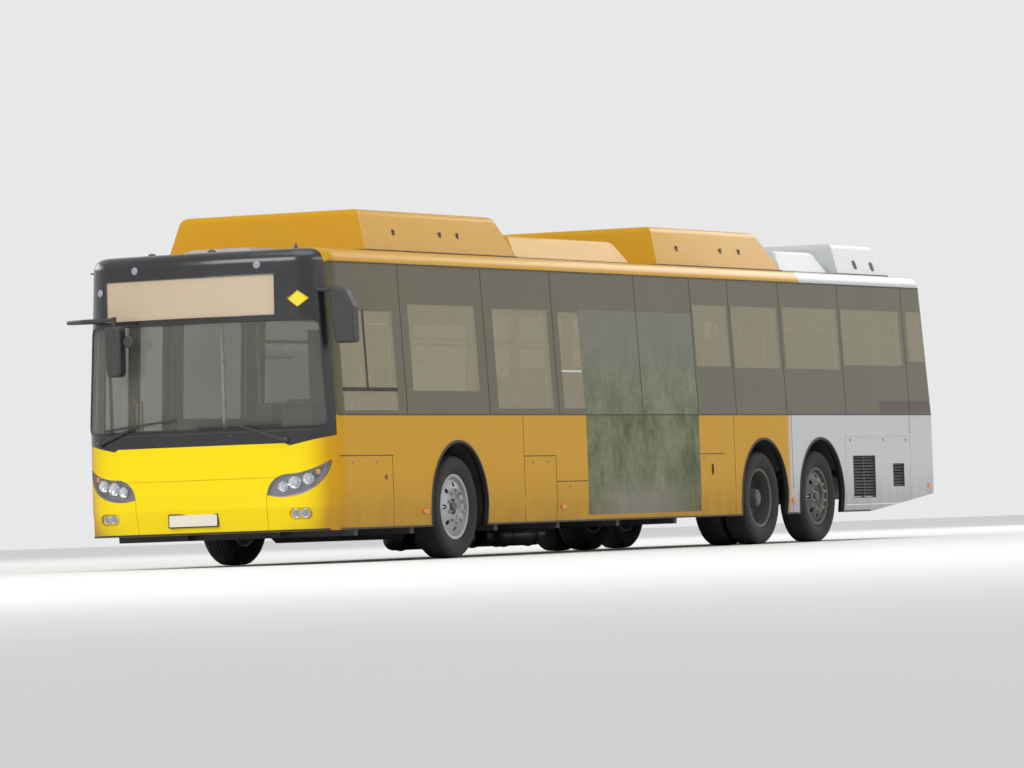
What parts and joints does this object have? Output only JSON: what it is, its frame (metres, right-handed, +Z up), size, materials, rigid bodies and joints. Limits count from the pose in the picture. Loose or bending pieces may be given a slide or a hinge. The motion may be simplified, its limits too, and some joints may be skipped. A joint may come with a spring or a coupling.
{
  "type": "city bus",
  "caption": "Three-axle low-entry city bus with a hollow cabin, roof-mounted gas pods, inward-swinging double doors, steered front wheels and opening engine covers.",
  "frame": {"origin": "on the ground under the middle of the bus's outer box, mirrors included", "axes": "+X forward, +Y to the bus's left, +Z up"},
  "size_m": [15.11, 2.8733, 3.24],
  "materials": {
    "body_paint": "satin two-tone coach paint",
    "roof_shell": "satin coach paint",
    "cover_shell": "moulded roof covers, semi-gloss",
    "mask_black": "glossy black",
    "glazing": "tinted bonded glass",
    "screen_glass": "clear laminated glass",
    "sign_face": "blank dot-matrix display behind glass",
    "lamp_lens": "clear and coloured lamp lenses",
    "black_plastic": "textured black plastic",
    "liner_plastic": "grained black plastic",
    "floor_vinyl": "speckled safety vinyl",
    "frame_paint": "black chassis paint",
    "axle_iron": "painted cast iron",
    "bellows_rubber": "moulded rubber",
    "engine_iron": "oily cast iron",
    "cab_panel": "grained grey plastic",
    "seat_fabric": "wool moquette",
    "rail_paint": "powder-coated tube",
    "tyre_rubber": "tyre rubber",
    "rim_steel": "silver-painted steel",
    "door_frame": "black-anodised frame"
  },
  "bodies": {
    "root": {"left_wall": "body_paint", "right_wall": "body_paint", "roof": "roof_shell", "front_mask": "mask_black", "front_bumper": "body_paint", "rear_wall": "body_paint", "windscreen": "screen_glass", "side_windows": "glazing", "rear_window": "glazing", "sign_panel": "sign_face", "lamps": "lamp_lens", "roof_pods": "cover_shell", "roof_boxes": "cover_shell", "floor": "floor_vinyl", "underframe": "frame_paint", "wheel_housings": "liner_plastic", "engine": "engine_iron", "axles": "axle_iron", "air_springs": "bellows_rubber", "mirrors": "black_plastic", "wipers": "black_plastic", "dashboard": "cab_panel", "driver_cab": "cab_panel", "steering_wheel": "black_plastic", "seats": "seat_fabric", "handrails": "rail_paint"},
    "knuckle_left": {"knuckle_left": "axle_iron"},
    "wheel_front_left": {"tyre_front_left": "tyre_rubber", "rim_front_left": "rim_steel"},
    "wheel_drive_left": {"tyre_drive_left": "tyre_rubber", "rim_drive_left": "rim_steel"},
    "wheel_tag_left": {"tyre_tag_left": "tyre_rubber", "rim_tag_left": "rim_steel"},
    "knuckle_right": {"knuckle_right": "axle_iron"},
    "wheel_front_right": {"tyre_front_right": "tyre_rubber", "rim_front_right": "rim_steel"},
    "wheel_drive_right": {"tyre_drive_right": "tyre_rubber", "rim_drive_right": "rim_steel"},
    "wheel_tag_right": {"tyre_tag_right": "tyre_rubber", "rim_tag_right": "rim_steel"},
    "front_door_front": {"front_door_front": "door_frame", "front_door_front_glass": "glazing"},
    "front_door_rear": {"front_door_rear": "door_frame", "front_door_rear_glass": "glazing"},
    "middle_door_front": {"middle_door_front": "door_frame", "middle_door_front_glass": "glazing"},
    "middle_door_rear": {"middle_door_rear": "door_frame", "middle_door_rear_glass": "glazing"},
    "engine_lid": {"engine_lid": "body_paint"},
    "engine_flap": {"engine_flap": "body_paint"}
  },
  "joints": [
    {"name": "steer_left", "type": "hinge", "parent": "root", "child": "knuckle_left", "pos_m": [4.625, 0.982, 0.478], "axis": [0, 0, 1], "range_deg": [-45, 45]},
    {"name": "roll_front_left", "type": "hinge", "parent": "knuckle_left", "child": "wheel_front_left", "pos_m": [4.625, 1.1, 0.478], "axis": [0, 1, 0], "continuous": true},
    {"name": "roll_drive_left", "type": "hinge", "parent": "root", "child": "wheel_drive_left", "pos_m": [-2.645, 1.1, 0.478], "axis": [0, 1, 0], "continuous": true},
    {"name": "roll_tag_left", "type": "hinge", "parent": "root", "child": "wheel_tag_left", "pos_m": [-4.175, 1.1, 0.478], "axis": [0, 1, 0], "continuous": true},
    {"name": "steer_right", "type": "hinge", "parent": "root", "child": "knuckle_right", "pos_m": [4.625, -0.982, 0.478], "axis": [0, 0, 1], "range_deg": [-45, 45]},
    {"name": "roll_front_right", "type": "hinge", "parent": "knuckle_right", "child": "wheel_front_right", "pos_m": [4.625, -1.1, 0.478], "axis": [0, 1, 0], "continuous": true},
    {"name": "roll_drive_right", "type": "hinge", "parent": "root", "child": "wheel_drive_right", "pos_m": [-2.645, -1.1, 0.478], "axis": [0, 1, 0], "continuous": true},
    {"name": "roll_tag_right", "type": "hinge", "parent": "root", "child": "wheel_tag_right", "pos_m": [-4.175, -1.1, 0.478], "axis": [0, 1, 0], "continuous": true},
    {"name": "swing_front_front", "type": "hinge", "parent": "root", "child": "front_door_front", "pos_m": [6.871, -1.15, 1.35], "axis": [0, 0, -1], "range_deg": [0, 85]},
    {"name": "swing_front_rear", "type": "hinge", "parent": "root", "child": "front_door_rear", "pos_m": [5.639, -1.15, 1.35], "axis": [0, 0, 1], "range_deg": [0, 85]},
    {"name": "swing_middle_front", "type": "hinge", "parent": "root", "child": "middle_door_front", "pos_m": [1.991, -1.15, 1.35], "axis": [0, 0, -1], "range_deg": [0, 85]},
    {"name": "swing_middle_rear", "type": "hinge", "parent": "root", "child": "middle_door_rear", "pos_m": [0.759, -1.15, 1.35], "axis": [0, 0, 1], "range_deg": [0, 85]},
    {"name": "lift_engine_lid", "type": "hinge", "parent": "root", "child": "engine_lid", "pos_m": [-7.54865, 0, 1.554], "axis": [0, 1, 0], "range_deg": [0, 75]},
    {"name": "lift_engine_flap", "type": "hinge", "parent": "root", "child": "engine_flap", "pos_m": [-5.775, 1.275, 1.109], "axis": [1, 0, 0], "range_deg": [0, 80]}
  ],
  "couplings": [
    {"joint": "steer_right", "follows": "steer_left", "ratio": 1},
    {"joint": "swing_front_rear", "follows": "swing_front_front", "ratio": 1},
    {"joint": "swing_middle_rear", "follows": "swing_middle_front", "ratio": 1}
  ]
}
